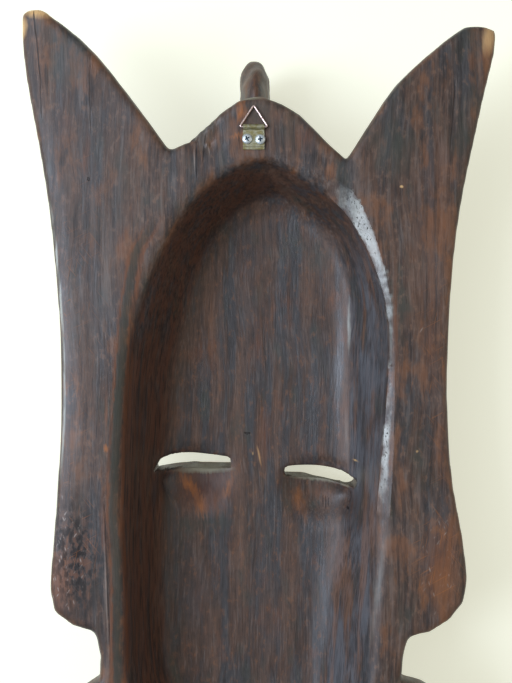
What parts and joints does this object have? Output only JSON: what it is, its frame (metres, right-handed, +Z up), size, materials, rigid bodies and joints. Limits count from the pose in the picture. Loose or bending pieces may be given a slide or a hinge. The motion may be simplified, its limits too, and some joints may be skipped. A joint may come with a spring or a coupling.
{
  "type": "carved wooden wall mask",
  "caption": "Tall carved wooden face mask with two pointed horns, side flanges, a crest, a hollowed back, eye slits and a small strap hanger with a swinging wire ring.",
  "frame": {"origin": "middle of the object's box, at the level of the table it lies on face down", "axes": "+Y along the mask towards its horns, +Z up out of its hollowed back, +X across it to the right as seen from the back"},
  "size_m": [0.2908, 0.5389, 0.0986],
  "materials": {
    "hardwood": "dark stained and waxed, carved by hand",
    "strap_zinc": "yellow-passivated zinc plate",
    "ring_nickel": "nickel-plated wire",
    "screw_zinc": "bright blue-white zinc"
  },
  "bodies": {
    "mask_body": {"mask": "hardwood", "hanger_plate": "strap_zinc", "screw_left": "screw_zinc", "screw_right": "screw_zinc"},
    "ring": {"hanger_ring": "ring_nickel"}
  },
  "joints": [
    {"name": "ring_swing", "type": "hinge", "parent": "mask_body", "child": "ring", "pos_m": [-0.0027, 0.1966, 0.09695], "axis": [1, 0, 0], "range_deg": [0, 150]}
  ]
}
